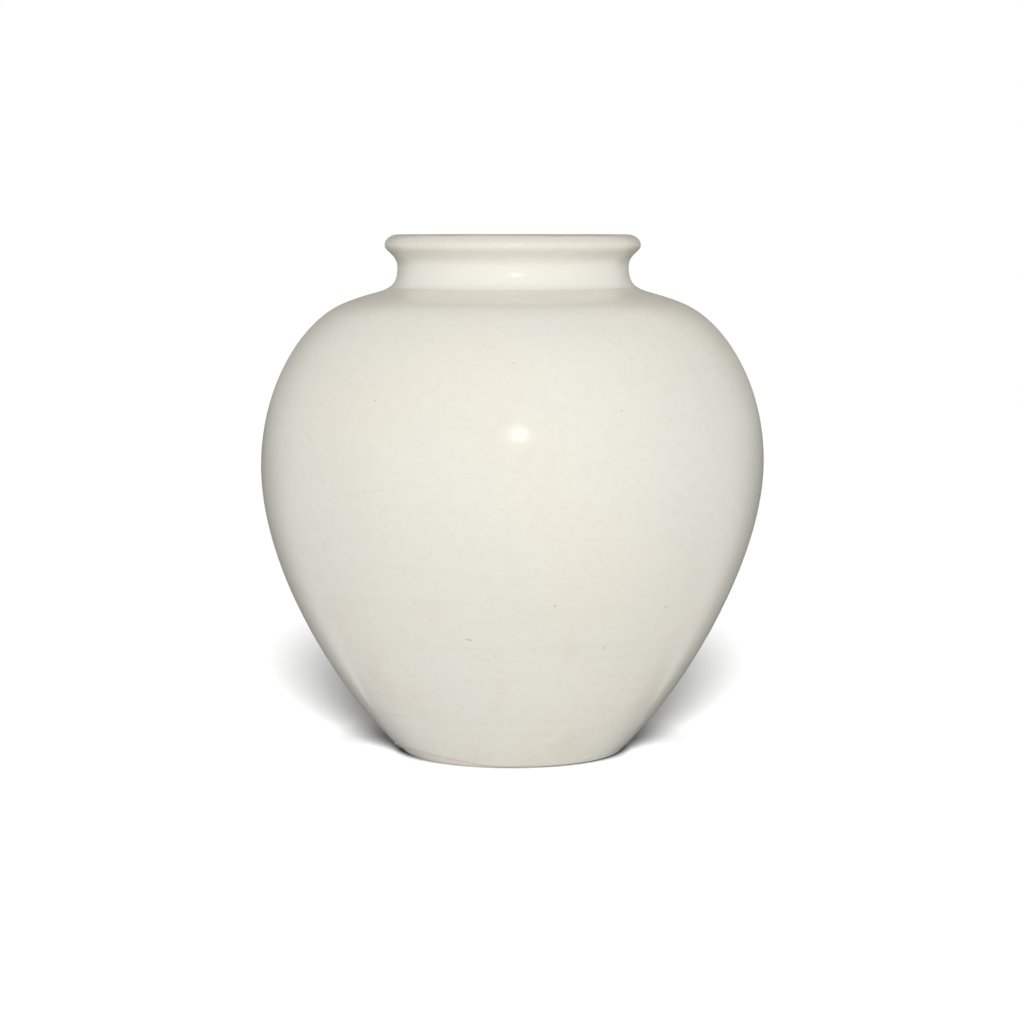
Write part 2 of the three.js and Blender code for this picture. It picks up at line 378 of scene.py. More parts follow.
card_turns = [math.radians(CARD_SIDE * (2 * step / CARD_STEPS - 1)) for step in range(CARD_STEPS + 1)]
card_height = CARD_DISTANCE * math.tan(math.radians(CARD_TOP))
card_rows = (CARD_NEAR, CARD_LIFT), (CARD_DISTANCE, CARD_LIFT), (CARD_DISTANCE, card_height)
card_points = [(out * math.sin(a), out * math.cos(a), z) for out, z in card_rows for a in card_turns]
columns = CARD_STEPS + 1
card_faces = [(row * columns + s, row * columns + s + 1, (row + 1) * columns + s + 1, (row + 1) * columns + s)
              for row in range(len(card_rows) - 1) for s in range(CARD_STEPS)]
bowed_card = put("bowed_card", new_mesh("bowed_card", card_points, faces=card_faces))
bowed_card.data.materials.append(dark_card)
bowed_card.visible_camera = False
bowed_card.visible_diffuse = False
bowed_card.visible_shadow = False
print("a card of", len(card_faces), "faces behind the jar")

# %% [markdown]
# ## The outline
# Everything turned on a wheel is one outline and one axis. The outline here is four smooth curves, from
# the foot to the belly, the shoulder, the throat and the lip, and a rolled rim of two quarter ellipses.
# Each curve is a cubic Bezier: a start, an end, the direction at each and how long the curve holds it,
# which is its pull. These are the jar's own sizes, the same as in the measured model, and the two overall
# ones are read from it.

# %% Sizes of the jar
MM = 0.001
_, glaze_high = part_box("outer_glaze")
HEIGHT = glaze_high.z
BELLY_RADIUS = glaze_high.x
BELLY_HEIGHT = 168 * MM
FOOT_RADIUS = 63 * MM
FOOT_FLARE = 42.6
THROAT_RADIUS = 66.7 * MM
NECK_ROOT_WIDTH = 32.3 * MM
NECK_ROOT_RISE = 21.3 * MM
SHOULDER_FALL = 24
LIP_OVERHANG = 7.1 * MM
LIP_UNDERCUT = 12.6 * MM
LIP_CROWN = 6.1 * MM
LIP_CROWN_SHARE = 0.56

FOOT_WALL = 10 * MM
BELLY_WALL = 6.5 * MM
SHOULDER_WALL = 6 * MM
THROAT_WALL = 5.5 * MM
FLOOR_HEIGHT = 10 * MM
COVE_HEIGHT = 12 * MM
FOOT_RING_WIDTH = 12 * MM
FOOT_BEVEL = 1 * MM
RECESS_DEPTH = 1.5 * MM
RECESS_SLOPE_WIDTH = 3 * MM

GLAZE = 0.6 * MM
GLAZE_LINE = 4 * MM
BOND = 0.05 * MM
SLIP = 1 * MM
BELLY_KEY = 2.5 * MM
NECK_KEY = 1.5 * MM
SKIN = GLAZE + BOND

lip_height = HEIGHT - LIP_CROWN
throat_height = lip_height - LIP_UNDERCUT
lip_radius = THROAT_RADIUS + LIP_OVERHANG
mouth_radius = THROAT_RADIUS - THROAT_WALL - 2 * SKIN
crown_radius = lip_radius + (mouth_radius - lip_radius) * LIP_CROWN_SHARE
print("belly", round(2000 * BELLY_RADIUS, 1), "mm across, mouth", round(2000 * mouth_radius, 1), "mm")


# %% Curves
def heading_of(degrees):
    angle = math.radians(degrees)
    return np.array((math.cos(angle), math.sin(angle)))


def sweep(start, start_angle, end, end_angle, pulls, steps):
    """Points and directions of a smooth curve. Angles go from 0, outwards, to 90, up."""
    start, end = np.array(start), np.array(end)
    span = np.linalg.norm(end - start)
    first = start + heading_of(start_angle) * span * pulls[0]
    second = end - heading_of(end_angle) * span * pulls[1]
    t = np.linspace(0, 1, steps + 1)[:, None]
    points = (1 - t) ** 3 * start + 3 * t * (1 - t) ** 2 * first + 3 * t * t * (1 - t) * second + t ** 3 * end
    along = (1 - t) ** 2 * (first - start) + 2 * t * (1 - t) * (second - first) + t * t * (end - second)
    return points, along / np.linalg.norm(along, axis=1, keepdims=True)


def quarter(half_width, start_angle, steps):
    """A quarter of the rolled rim, an ellipse about the crown."""
    a = np.radians(np.linspace(start_angle, start_angle + 90, steps + 1))
    points = np.stack((crown_radius + half_width * np.cos(a), lip_height + LIP_CROWN * np.sin(a)), 1)
    along = np.stack((-half_width * np.sin(a), LIP_CROWN * np.cos(a)), 1)
    return points, along / np.linalg.norm(along, axis=1, keepdims=True)


# %% Stations of the wall
UP = 90
LOWER_PULLS = 0.275, 0.313
DOME_PULLS = 0.434, 0.253
ROOT_PULLS = 0.6, 0.42
UNDERCUT_PULLS = 0.515, 0.278
LOWER_STEPS = 130
DOME_STEPS = 84
NECK_STEPS = 50
UNDERCUT_STEPS = 24
OUTER_ROLL_STEPS = 18
INNER_ROLL_STEPS = 14
NECK_JOINT = 25
NECK_JOINT_INSIDE = 30

foot = (FOOT_RADIUS, 0)
belly = (BELLY_RADIUS, BELLY_HEIGHT)
shoulder = (THROAT_RADIUS + NECK_ROOT_WIDTH, throat_height - NECK_ROOT_RISE)
throat = (THROAT_RADIUS, throat_height)
lip = (lip_radius, lip_height)

lower = sweep(foot, FOOT_FLARE, belly, UP, LOWER_PULLS, LOWER_STEPS)
dome = sweep(belly, UP, shoulder, 180 - SHOULDER_FALL, DOME_PULLS, DOME_STEPS)
root = sweep(shoulder, 180 - SHOULDER_FALL, throat, UP, ROOT_PULLS, NECK_STEPS)
undercut = sweep(throat, UP, lip, UP, UNDERCUT_PULLS, UNDERCUT_STEPS)
outer_roll = quarter(lip_radius - crown_radius, 0, OUTER_ROLL_STEPS)
inner_roll = quarter(crown_radius - mouth_radius, UP, INNER_ROLL_STEPS)


class Stations:
    """Places along the glazed outline, with the way into the wall and the clay's thickness at each."""

    def __init__(self, *curves):
        points, along, wall = [], [], []
        for (curve_points, curve_along), start_wall, end_wall in curves:
            skip = 1 if points else 0
            points += list(curve_points[skip:])
            along += list(curve_along[skip:])
            wall += list(np.linspace(start_wall, end_wall, len(curve_points))[skip:])
        self.points, along, self.wall = np.array(points), np.array(along), np.array(wall)
        self.inward = np.stack((-along[:, 1], along[:, 0]), 1)

    def at(self, depth):
        """The outline moved into the wall by a depth, which may differ from station to station."""
        return self.points + self.inward * np.reshape(depth, (-1, 1))


wall = Stations((lower, FOOT_WALL, BELLY_WALL), (dome, BELLY_WALL, SHOULDER_WALL),
                (root, SHOULDER_WALL, THROAT_WALL))
rim = Stations((undercut, 0, 0), (outer_roll, 0, 0), (inner_roll, 0, 0))
BELLY_STATION = len(lower[0]) - 1
NECK_STATION = BELLY_STATION + len(dome[0]) - 1 + NECK_JOINT
NECK_STATION_INSIDE = NECK_STATION + NECK_JOINT_INSIDE - NECK_JOINT
GLAZE_STATION = int(np.argmax(wall.points[:, 1] > GLAZE_LINE))
print(len(wall.points), "stations up the wall and", len(rim.points), "over the lip")


def wall_slant(height):
    """The angle at which the wall rises at a height."""
    x, z = wall.inward[int(np.argmax(wall.points[:, 1] > height))]
    return math.atan2(-x, z)


# %% [markdown]
# ## The throwing wheel
# In Blender a turned shape can come from the Screw modifier or from Spin. A potter's jar is never quite
# true, though, and its walls carry the marks of fingers, so here the wheel is a Geometry Nodes tree. A
# flat grid has one row for each point of the outline and one column for each step round the axis. Every
# vertex looks up its row's point, and the tree places it round the axis. On the way it adds what the
# hands did: the jar's slight sway, the throwing lines, and the wavy edge where the foot was held over the
# glaze. The lines ease out over the first and last rows of a face, so that every coat closes. All pieces
# turn on the same wheel with the same sway, so the thin coats never cut through the clay.

# %% Wheel tree
SWAY = 0.8 * MM
SWAY_MIDDLE = 155 * MM
SWAY_PERIOD = 340 * MM
EDGE_REACH = 26 * MM
EDGE_SLANTS = wall_slant(GLAZE_LINE), wall_slant(GLAZE_LINE + EDGE_REACH)
EDGE_DROP = -4.5 * MM
GRIP_LIFT = 8.6 * MM
GRIP_TURN = math.radians(50)
GRIPS = 2
EDGE_TREMBLE = 0.8 * MM
TREMBLE_SCALE = 3.2
THIN_REACH = 2.2 * MM
LINE_EASE_ROWS = 6.0
LINE_DRIFT = 0.35
WELD = 0.001 * MM


def new_tree(name, sockets):
    tree = bpy.data.node_groups.new(name, "GeometryNodeTree")
    tree.is_modifier = True
    for label, kind, default in sockets:
        socket = tree.interface.new_socket(name=label, in_out="INPUT", socket_type="NodeSocket" + kind)
        if default is not None:
            socket.default_value = default
    tree.interface.new_socket(name="Geometry", in_out="OUTPUT", socket_type="NodeSocketGeometry")
    return tree


wheel = new_tree("Throwing wheel", (
    ("Outline", "Geometry", None),
    ("Segments", "Int", 200),
    ("Sway", "Float", SWAY),
    ("Face Rows", "Int", 0),
    ("Line Depth", "Float", 0.0),
    ("Line Spacing", "Float", 9 * MM),
    ("Edge Wave", "Float", 0.0),
    ("Seed", "Float", 0.0),
    ("Material", "Material", None),
))


def sample_outline(bench, outline, row):
    """The outline's point number row."""
    position = bench.out("GeometryNodeInputPosition")
    feeds = {"Geometry": outline, "Value": position, "Index": row}
    return bench.out("GeometryNodeSampleIndex", feeds, data_type="FLOAT_VECTOR", clamp=True)


def glaze_edge(bench, turn, circle, seed):
    """How far the glaze's lower edge runs up the wall at each turn: two grips and a small tremble."""
    grip = bench.math("COSINE", bench.times(bench.plus(turn, GRIP_TURN), float(GRIPS)))
    lift = bench.math("POWER", bench.math("MAXIMUM", grip, 0.0), 2.0)
    shaken = bench.vector("ADD", circle, bench.combine(seed, seed, seed))
    tremble = bench.swing(shaken, TREMBLE_SCALE, 2 * EDGE_TREMBLE, 3.0)
    return bench.plus(bench.math("MULTIPLY_ADD", lift, GRIP_LIFT, EDGE_DROP), tremble)


def build_wheel(bench):
    given = bench.add("NodeGroupInput").outputs
    outline, seed = given["Outline"], given["Seed"]
    rows = bench.add("GeometryNodeAttributeDomainSize", (outline,)).outputs["Point Count"]
    columns = bench.plus(given["Segments"], 1)
    grid_feeds = {"Size X": 1.0, "Size Y": 1.0, "Vertices X": columns, "Vertices Y": rows}
    grid = bench.add("GeometryNodeMeshGrid", grid_feeds).outputs["Mesh"]

    place = bench.separate(bench.out("GeometryNodeInputPosition"))
    turn = bench.times(bench.plus(place["X"], 0.5), 2 * math.pi)
    share = bench.plus(place["Y"], 0.5)
    row = bench.math("ROUND", bench.times(share, bench.minus(rows, 1)))
    circle = bench.combine(bench.math("SINE", turn), bench.times(bench.math("COSINE", turn), -1), 0)

    point = sample_outline(bench, outline, row)
    ahead = sample_outline(bench, outline, bench.plus(row, 1))
    behind = sample_outline(bench, outline, bench.minus(row, 1))
    slope = bench.separate(bench.vector("NORMALIZE", bench.vector("SUBTRACT", ahead, behind)))
    outward = bench.combine(slope["Z"], 0, bench.times(slope["X"], -1))

    low = bench.separate(point)["Z"]
    near_edge = bench.fade(low, GLAZE_LINE, GLAZE_LINE + EDGE_REACH, 1.0, 0.0)
    wave = bench.times(glaze_edge(bench, turn, circle, seed), given["Edge Wave"])
    slant = bench.fade(low, GLAZE_LINE, GLAZE_LINE + EDGE_REACH, *EDGE_SLANTS)
    uphill = bench.combine(bench.math("COSINE", slant), 0, bench.math("SINE", slant))
    slid = bench.scaled(uphill, bench.times(wave, near_edge))

    winding = bench.math("DIVIDE", low, given["Line Spacing"])
    round_x, round_y, _ = bench.separate(circle)
    ringing = bench.combine(bench.times(round_x, LINE_DRIFT), bench.times(round_y, LINE_DRIFT), winding)
    seeded = bench.vector("ADD", ringing, bench.combine(seed, 0, 0))
    depth = bench.swing(seeded, 1.0, given["Line Depth"], 1.5, 0.45)
    last_row = bench.minus(given["Face Rows"], 1)
    from_end = bench.math("MINIMUM", row, bench.minus(last_row, row))
    pressed = bench.scaled(outward, bench.times(depth, bench.fade(from_end, 0.0, LINE_EASE_ROWS)))

    made = bench.separate(bench.vector("ADD", point, bench.vector("ADD", slid, pressed)))
    round_axis = bench.scaled(circle, made["X"])
    sway_turn = bench.times(bench.minus(made["Z"], SWAY_MIDDLE), 2 * math.pi / SWAY_PERIOD)
    sway = bench.times(bench.math("SINE", sway_turn), given["Sway"])
    final = bench.vector("ADD", round_axis, bench.combine(sway, 0, made["Z"]))

    thin = bench.fade(low, GLAZE_LINE, GLAZE_LINE + THIN_REACH, 1.0, 0.0)
    marked = bench.out("GeometryNodeStoreNamedAttribute", {"Geometry": grid, "Name": "thin", "Value": thin})
    turned = bench.out("GeometryNodeSetPosition", {"Geometry": marked, "Position": final})
    welded = bench.out("GeometryNodeMergeByDistance", {"Geometry": turned, "Distance": WELD})
    smooth = bench.out("GeometryNodeSetShadeSmooth", {"Geometry": welded})
    real = bench.out("GeometryNodeRealizeInstances", (smooth,))
    dressed = bench.out("GeometryNodeSetMaterial", {"Geometry": real, "Material": given["Material"]})
    bench.add("NodeGroupOutput", (dressed,))


build_wheel(Bench(wheel))
print("the wheel has", len(wheel.nodes), "nodes")


# %% Run a tree and keep its mesh
def run_tree(obj, tree, **values):
    """Puts the tree on the object, sets its inputs and keeps the result as the object's own plain mesh."""
    modifier = obj.modifiers.new(tree.name, "NODES")
    modifier.node_group = tree
    sockets = {item.name: item.identifier for item in tree.interface.items_tree if item.in_out == "INPUT"}
    for label, value in values.items():
        modifier[sockets[label.replace("_", " ").title()]] = value
    bpy.context.view_layer.update()
    evaluated = obj.evaluated_get(bpy.context.evaluated_depsgraph_get())
    mesh = bpy.data.meshes.new_from_object(evaluated)
    obj.modifiers.clear()
    obj.data = mesh
    mesh.name = obj.name
    return obj


def face_outwards(obj):
    """Recalculates the normals and prints what was made."""
    shape = bmesh.new()
    shape.from_mesh(obj.data)
    bmesh.ops.recalc_face_normals(shape, faces=shape.faces)
    volume = shape.calc_volume(signed=True)
    open_edges = sum(1 for edge in shape.edges if not edge.is_manifold)
    shape.to_mesh(obj.data)
    shape.free()
    print(obj.name, len(obj.data.polygons), "faces,", open_edges, "open edges,", round(volume * 1e6, 2), "ml")


def throw(name, outline, node, slot, material, **values):
    """Turns a closed outline on the wheel, to stand for one node of the measured model."""
    steps = [(i, i + 1) for i in range(len(outline) - 1)]
    mesh = new_mesh(name, [(x, 0, z) for x, z in outline], steps)
    piece = run_tree(put(name, mesh), wheel, material=material, **values)
    face_outwards(piece)
    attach(piece, "root")
    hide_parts(node)
    return piece


# %% [markdown]
# ## The finishes
# The glaze is a milky ivory with a soft gloss. Up close it isn't even: broad clouds of warmer and cooler
# tone, thin level streaks from the turning underneath, and a faint pink where the clay glows through a
# thinner coat. All of this is one function, because both coats and every grain on them share it. It reads
# Object coordinates, so the tones stay on the jar whatever the camera does. Each effect is a noise, and a
# fade over height makes the pink and the streaks stronger low down. Marks that only one coat or one kind
# of grain has come from a function of its own, which is given the tree and the tone.

# %% Glaze tones
IVORY = paint(231, 229, 219)
WARM_IVORY = paint(232, 228, 216)
COOL_IVORY = paint(227, 227, 215)
PAINTED_LIGHT_IVORY = paint(238, 236, 226)
PAINTED_SHADE_IVORY = paint(213, 203, 186)
CLAY_PINK = paint(224, 212, 198)
STREAK_GREY = paint(214, 211, 195)
UMBER = paint(120, 96, 74)
THIN_GLAZE = paint(214, 196, 176)
LIP_TOP_PAINTED_SHADE = paint(204, 194, 174)
CROWN_GREY = paint(146, 138, 122)
HAIRLINE_GREY = paint(150, 148, 138)
POOLED_GLAZE = paint(205, 204, 184)

CLOUD_SCALE = 9.0
COOL_SCALE = 12.0
COOL_OFFSET = (3, 1, 7)
COOL_SHARE = 0.7
BLOTCH_SCALE = 22.0
BLOTCH_OFFSET = (0, 5, 2)
BLOTCH_HEIGHTS = 0.150, 0.060
PINK_SHARE = 0.34
STREAK_DRIFT = 5.0
BROAD_FINENESS = 160.0
BROAD_SHARE = 0.22
FINE_FINENESS = 520.0
FINE_SHARE = 0.18
STREAK_HEIGHTS = 0.190, 0.040
MOTTLE_SCALE = 210.0
MOTTLE_SHARE = 0.16


def jar_place(bench):
    """The place on the jar, its height, and its angle round the axis from the front."""
    place = bench.add("ShaderNodeTexCoord").outputs["Object"]
    x, y, z = bench.separate(place)
    turn = bench.math("ARCTAN2", x, bench.times(y, -1))
    return place, z, turn


def turning_streaks(bench, place, fineness):
    """Level lines: a noise that changes fast with height and slowly round the jar."""
    stretched = bench.vector("MULTIPLY", place, (STREAK_DRIFT, STREAK_DRIFT, fineness))
    return bench.noise(stretched, 1.0, 4.0, 0.6)


def glaze_tones(bench):
    """The glaze's colour for any coat of it, the place it was made from and its fine level lines."""
    place, height, _ = jar_place(bench)
    warm = bench.fade(bench.noise(place, CLOUD_SCALE, 2.0), 0.40, 0.68)
    elsewhere = bench.vector("ADD", place, COOL_OFFSET)
    cool = bench.fade(bench.noise(elsewhere, COOL_SCALE, 3.0), 0.45, 0.75)
    colour = bench.tint(bench.blend(warm, IVORY, WARM_IVORY), cool, COOL_SHARE, COOL_IVORY)

    elsewhere = bench.vector("ADD", place, BLOTCH_OFFSET)
    blotch = bench.fade(bench.noise(elsewhere, BLOTCH_SCALE, 4.0, 0.62), 0.52, 0.70)
    low_down = bench.fade(height, *BLOTCH_HEIGHTS, 0.12, 1.0)
    colour = bench.tint(colour, bench.times(blotch, low_down), PINK_SHARE, CLAY_PINK)

    broad = bench.fade(turning_streaks(bench, place, BROAD_FINENESS), 0.50, 0.78)
    fine = bench.fade(turning_streaks(bench, place, FINE_FINENESS), 0.48, 0.80)
    streak = bench.plus(bench.times(broad, BROAD_SHARE), bench.times(fine, FINE_SHARE))
    streak = bench.times(streak, bench.fade(height, *STREAK_HEIGHTS, 0.35, 1.0))
    mottle = bench.fade(bench.noise(place, MOTTLE_SCALE, 3.0, 0.6), 0.42, 0.72)
    streak = bench.plus(streak, bench.times(mottle, MOTTLE_SHARE))
    colour = bench.blend(streak, colour, STREAK_GREY)
    return colour, place, fine


# %% Glaze gloss
GLAZE_IOR = 1.5
GLAZE_ROUGHNESS = 0.14, 0.18
NECK_ROUGHNESS = 0.04
NECK_HEIGHTS = 264 * MM, 272 * MM
DIMPLE_SCALE = 160.0
GLOSS_SCALE = 30.0
BUMP_DEPTH = 0.10 * MM
BUMP_SHARE = 0.12


def glaze_shader(bench, colour, place, fine):
    """A soft gloss with faint dimples and the level lines of the turning, a little stronger on the neck."""
    dimples = bench.noise(place, DIMPLE_SCALE, 2.0)
    relief = bench.math("MULTIPLY_ADD", fine, 0.35, bench.times(dimples, 0.5))
    gloss = bench.fade(bench.noise(place, GLOSS_SCALE, 3.0), 0.3, 0.7, *GLAZE_ROUGHNESS)
    on_neck = bench.fade(bench.separate(place)["Z"], *NECK_HEIGHTS)
    bump = {"Strength": BUMP_SHARE, "Distance": BUMP_DEPTH, "Height": relief}
    feeds = {
        "Base Color": colour,
        "Roughness": bench.math("MULTIPLY_ADD", on_neck, NECK_ROUGHNESS, gloss),
        "Specular IOR Level": bench.math("MULTIPLY_ADD", on_neck, 0.5, 0.5),
        "IOR": GLAZE_IOR,
        "Normal": bench.out("ShaderNodeBump", bump),
    }
    bench.add("ShaderNodeOutputMaterial", (bench.out("ShaderNodeBsdfPrincipled", feeds),))


def glaze_material(name, marks):
    """The glaze as a material, with a function that lays marks of its own over the even tone."""
    material, bench = new_material(name)
    colour, place, fine = glaze_tones(bench)
    glaze_shader(bench, marks(bench, colour), place, fine)
    print(name, "has", len(material.node_tree.nodes), "nodes")
    return material


# %% [markdown]
# The outside coat has a few marks of its own. Round the foot it runs out in a thin umber line. Under the
# lip a band is tinted pink and darker, as painted shade under the overhang. The root of the neck faces
# up, away from the lamp, and is painted duller as shade, with a thin pink line where the coat is thinner.
# Above it the neck is lighter in tone, partly as painted light where the upright neck faces the lamp,
# with a crisp wavy lower edge. The upper face of the lip is painted darker and warmer as shade, and along
# its crown runs a thin grey line. A single hairline slants across the belly on the left. The narrow marks
# are bands: a value that is 1 on the line and falls to 0 at the sides.

# %% Outer glaze
HAIRLINE_START = (math.radians(-50.3), 154.2 * MM)
HAIRLINE_END = (math.radians(-8.3), 171.8 * MM)
HAIRLINE_WIDTH = 0.32 * MM
PAINTED_UNDERLIP_SHADE = 289.5 * MM, 2.4 * MM
ROOT_LINE = 262.0 * MM, 1.6 * MM
CROWN_LINE = HEIGHT, 0.9 * MM
ROOT_SHADE_START = 254.0 * MM, 262.5 * MM
ROOT_SHADE_END = 270.2 * MM, 269.4 * MM
NECK_LIGHT_START = 269.4 * MM, 270.2 * MM
NECK_LIGHT_END = 288 * MM, 281 * MM
LIP_TOP_SHADE_HEIGHTS = 293.0 * MM, 298.5 * MM
UNEVEN_SCALE, UNEVEN_WIDTH = 26.0, 4 * MM
NECK_SCALE, NECK_WIDTH = 14.0, 2.4 * MM


def band(bench, value, middle, half_width):
    """1 where the value is at the middle, 0 from half_width away."""
    away = bench.math("ABSOLUTE", bench.minus(value, middle))
    return bench.fade(away, 0.0, half_width, 1.0, 0.0)


def hairline(bench, height, turn):
    (start_turn, start_height), (end_turn, end_height) = HAIRLINE_START, HAIRLINE_END
    steepness = (end_height - start_height) / (end_turn - start_turn)
    line = bench.math("MULTIPLY_ADD", turn, steepness, start_height - steepness * start_turn)
    middle = (start_turn + end_turn) / 2
    on_line = band(bench, height, line, HAIRLINE_WIDTH)
    return bench.times(on_line, band(bench, turn, middle, (end_turn - start_turn) / 1.6))


def outer_marks(bench, colour):
    place, height, turn = jar_place(bench)
    uneven = bench.plus(height, bench.swing(place, UNEVEN_SCALE, UNEVEN_WIDTH, 3.0))
    # Painted shade: a pink, darker band under the overhang of the lip.
    colour = bench.tint(colour, band(bench, uneven, *PAINTED_UNDERLIP_SHADE), 0.25, CLAY_PINK)
    neck_height = bench.plus(height, bench.swing(place, NECK_SCALE, NECK_WIDTH))
    # Painted shade: the root of the neck faces up, away from the lamp, and is painted duller.
    root_painted_shade = bench.times(bench.fade(neck_height, *ROOT_SHADE_START), bench.fade(neck_height, *ROOT_SHADE_END))
    colour = bench.tint(colour, root_painted_shade, 0.17, PAINTED_SHADE_IVORY)
    # Partly painted light: the upright neck faces the lamp and is painted lighter, above a crisp wavy edge.
    on_neck = bench.times(bench.fade(neck_height, *NECK_LIGHT_START), bench.fade(height, *NECK_LIGHT_END))
    colour = bench.tint(colour, on_neck, 0.9, PAINTED_LIGHT_IVORY)
    colour = bench.tint(colour, band(bench, neck_height, *ROOT_LINE), 0.28, CLAY_PINK)
    # Painted shade: the upper face of the lip is painted darker and warmer.
    colour = bench.tint(colour, bench.fade(height, *LIP_TOP_SHADE_HEIGHTS), 0.42, LIP_TOP_PAINTED_SHADE)
    colour = bench.tint(colour, band(bench, uneven, *CROWN_LINE), 0.45, CROWN_GREY)
    colour = bench.tint(colour, hairline(bench, height, turn), 0.15, HAIRLINE_GREY)
    thin = bench.add("ShaderNodeAttribute", attribute_name="thin").outputs["Fac"]
    colour = bench.tint(colour, bench.math("POWER", thin, 1.5), 0.20, THIN_GLAZE)
    gripped = bench.fade(bench.math("COSINE", bench.plus(turn, GRIP_TURN)), 0.55, 0.95, 0.12, 0.42)
    return bench.tint(colour, bench.fade(thin, 0.90, 0.985), gripped, UMBER)


outer_glaze = glaze_material("ivory_glaze_outside", outer_marks)

# %% [markdown]
# Inside, the glaze has pooled a little in the bottom, where it is deeper in tone.

# %% Inner glaze
POOL_HEIGHTS = 60 * MM, 12 * MM
POOL_SHARE = 0.55


def pooled(bench, colour):
    _, height, _ = jar_place(bench)
    return bench.blend(bench.fade(height, *POOL_HEIGHTS, 0.0, POOL_SHARE), colour, POOLED_GLAZE)


inner_glaze = glaze_material("ivory_glaze_inside", pooled)

# %% [markdown]
# Bare clay shows only at the foot and under it. Fired stoneware is dry and warm grey, with dark grains of
# iron, pale grains of grog and the fine grooves of the trimming tool. In patches it has flushed orange. The
# last strip above the floor is pale, partly from a wiped wash of glaze and partly as painted light that
# lifts the shade where the foot meets the floor. Slip is the same clay with hardly any grains, a little
# darker.

# %% Bare clay
DRY_CLAY, FLUSHED_CLAY = paint(214, 200, 180), paint(206, 176, 146)
DRY_SLIP, FLUSHED_SLIP = paint(200, 186, 166), paint(190, 172, 150)
IRON_GRAIN = paint(92, 74, 58)
GROG = paint(240, 232, 216)
WASH_AND_PAINTED_LIGHT = paint(234, 229, 218)
PATCH_SCALE = 18.0
FLUSH_SHARE = 0.6
GRAIN_SCALE = 620.0
IRON_OVER = 0.72
GROG_UNDER = 0.16
WASH_AND_LIGHT_START = 0.2 * MM, 0.8 * MM
WASH_AND_LIGHT_END = 9 * MM, 7 * MM
WASH_AND_LIGHT_WIDTH = 2 * MM
GRIT_SCALE = 900.0
CLAY_ROUGHNESS = 0.80, 0.95
CLAY_BUMP_DEPTH = 0.12 * MM
CLAY_BUMP_SHARE = 0.5


def clay_shader(bench, base, flushed, grain_share, wash_and_light_share=0.0):
    place, height, _ = jar_place(bench)
    patchy = bench.fade(bench.noise(place, PATCH_SCALE, 4.0), 0.35, 0.70)
    colour = bench.tint(base, patchy, FLUSH_SHARE, flushed)
    grains = bench.add("ShaderNodeTexVoronoi", {"Vector": place, "Scale": GRAIN_SCALE}).outputs
    spotted = bench.times(bench.fade(grains["Distance"], 0.30, 0.12), grain_share)
    chance = bench.separate(grains["Color"])["X"]
    colour = bench.tint(colour, spotted, bench.math("GREATER_THAN", chance, IRON_OVER), IRON_GRAIN)
    colour = bench.tint(colour, spotted, bench.math("LESS_THAN", chance, GROG_UNDER), GROG)
    out = bench.measure("LENGTH", bench.vector("MULTIPLY", place, (1, 1, 0)))
    # Partly painted light: the pale strip above the floor lifts the shade where the foot meets it.
    on_side = bench.times(bench.fade(height, *WASH_AND_LIGHT_START), bench.fade(height, *WASH_AND_LIGHT_END))
    wash_and_light_mask = bench.times(on_side, bench.math("GREATER_THAN", out, FOOT_RADIUS - WASH_AND_LIGHT_WIDTH))
    colour = bench.tint(colour, wash_and_light_mask, wash_and_light_share, WASH_AND_PAINTED_LIGHT)
    grit = bench.noise(place, GRIT_SCALE, 3.0, 0.7)
    relief = bench.math("MULTIPLY_ADD", turning_streaks(bench, place, GRIT_SCALE), 0.4, grit)
    bump = {"Strength": CLAY_BUMP_SHARE, "Distance": CLAY_BUMP_DEPTH, "Height": relief}
    feeds = {
        "Base Color": colour,
        "Roughness": bench.fade(grit, 0.3, 0.7, *CLAY_ROUGHNESS),
        "Normal": bench.out("ShaderNodeBump", bump),
    }
    bench.add("ShaderNodeOutputMaterial", (bench.out("ShaderNodeBsdfPrincipled", feeds),))


bare_clay, bench = new_material("bare_clay")
clay_shader(bench, DRY_CLAY, FLUSHED_CLAY, grain_share=0.8, wash_and_light_share=0.95)
joining_slip, bench = new_material("joining_slip")
clay_shader(bench, DRY_SLIP, FLUSHED_SLIP, grain_share=0.1)
print(bare_clay.name, "and", joining_slip.name)

# %% [markdown]
# ## The clay sections
# The lower body, the shoulder dome and the neck are turned from outlines that close on themselves or on
# the axis. Where two sections meet, the lower rim has a groove and the upper rim an edge, with slip
# between them, which is how a potter keeps a big form from slipping while it is joined. Corners are eased
# by a short curve, because no edge of a wet pot is sharp.

# %% Luted joints
def luted_joint(outer_station, inner_station, key_depth):
    """The lower rim, the upper rim and the slip of a joint, from the outside of the clay to its inside."""
    outer, inner = clay_outside[outer_station], clay_inside[inner_station]
    across = (inner - outer) / np.linalg.norm(inner - outer)
    down = np.array((-across[1], across[0]))
    key = (outer + inner) / 2 + down * key_depth

    def beside(face, station, side, gap):
        way = face[station + side] - face[station]
        way = way / np.linalg.norm(way)
        return face[station] + way * gap / abs(way @ down)

    def rim_points(side, gap):
        return [beside(clay_outside, outer_station, side, gap), key - side * down * gap,
                beside(clay_inside, inner_station, side, gap)]

    slip = [*rim_points(-1, SLIP / 2), inner, *reversed(rim_points(1, SLIP / 2)), outer]
    return rim_points(-1, SLIP / 2 + BOND), rim_points(1, SLIP / 2 + BOND), slip


